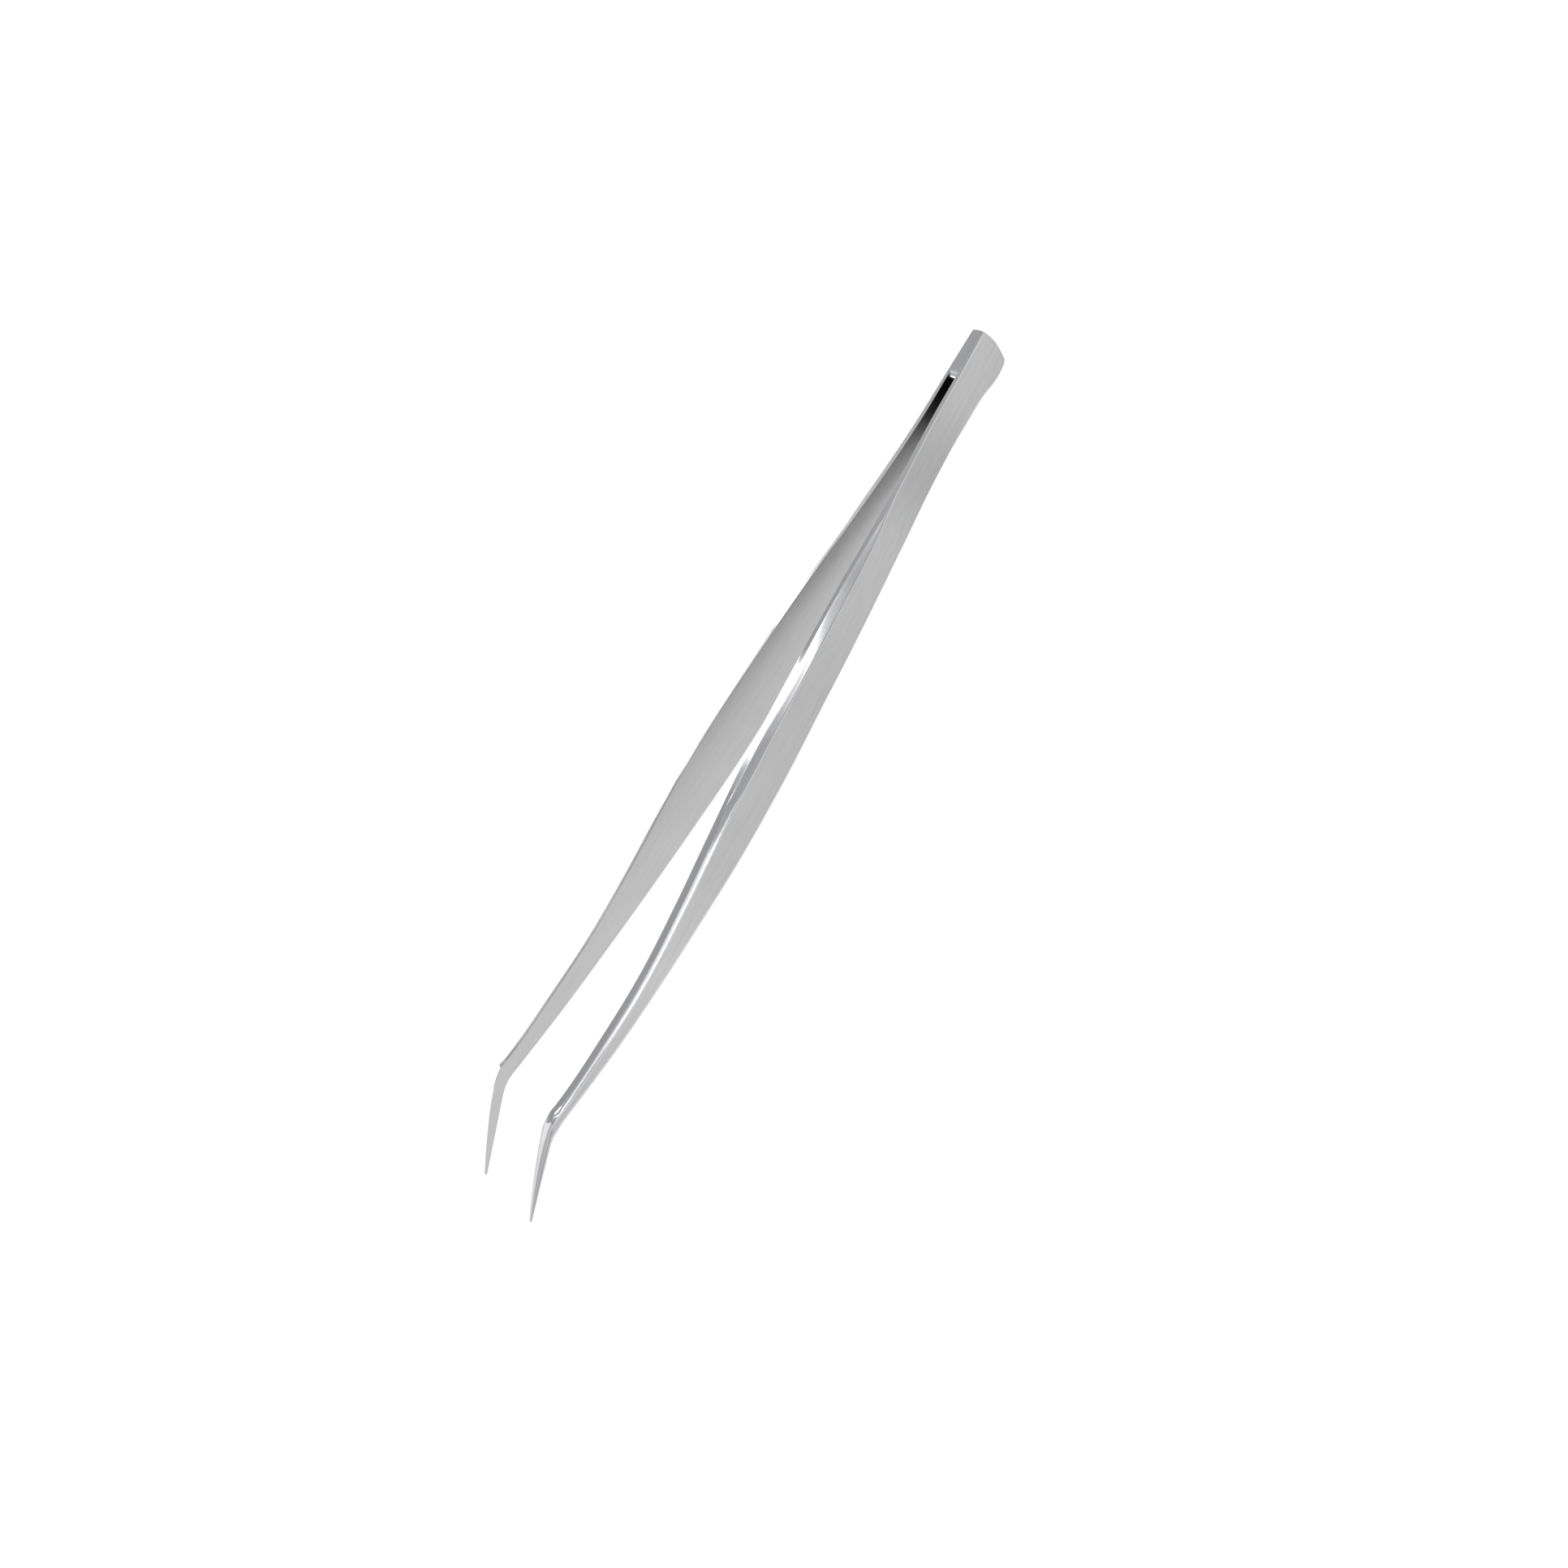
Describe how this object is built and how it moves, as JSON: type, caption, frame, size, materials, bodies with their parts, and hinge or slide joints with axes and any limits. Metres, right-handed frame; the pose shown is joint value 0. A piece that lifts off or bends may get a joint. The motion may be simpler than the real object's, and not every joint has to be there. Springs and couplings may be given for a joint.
{
  "type": "angled fine-point tweezers",
  "caption": "Angled fine-point tweezers in satin steel, with two sprung blades welded to a wedge spacer at the heel.",
  "frame": {"origin": "centre of the footprint, on the surface that the lower edges of the blades rest on", "axes": "+X along the length from the heel to the tips, Y the closing direction, +Z across the blades; the tips bend towards -Z"},
  "size_m": [0.15, 0.0208, 0.0081],
  "materials": {
    "blade_steel": "satin, brushed along the length, with polished edges",
    "spacer_steel": "satin, ground flush with the blades"
  },
  "bodies": {
    "heel": {"heel_spacer": "spacer_steel", "left_blade_heel": "blade_steel", "right_blade_heel": "blade_steel"},
    "left_arm": {"left_blade_arm": "blade_steel"},
    "right_arm": {"right_blade_arm": "blade_steel"}
  },
  "joints": [
    {"name": "left_flex", "type": "hinge", "parent": "heel", "child": "left_arm", "pos_m": [-0.05698, 0.00135, 0.00385], "axis": [0, 0, -1], "range_deg": [0, 3.6], "stiffness_Nm_per_rad": 2.5},
    {"name": "right_flex", "type": "hinge", "parent": "heel", "child": "right_arm", "pos_m": [-0.05698, -0.00135, 0.00385], "axis": [0, 0, 1], "range_deg": [0, 3.6], "stiffness_Nm_per_rad": 2.5}
  ]
}
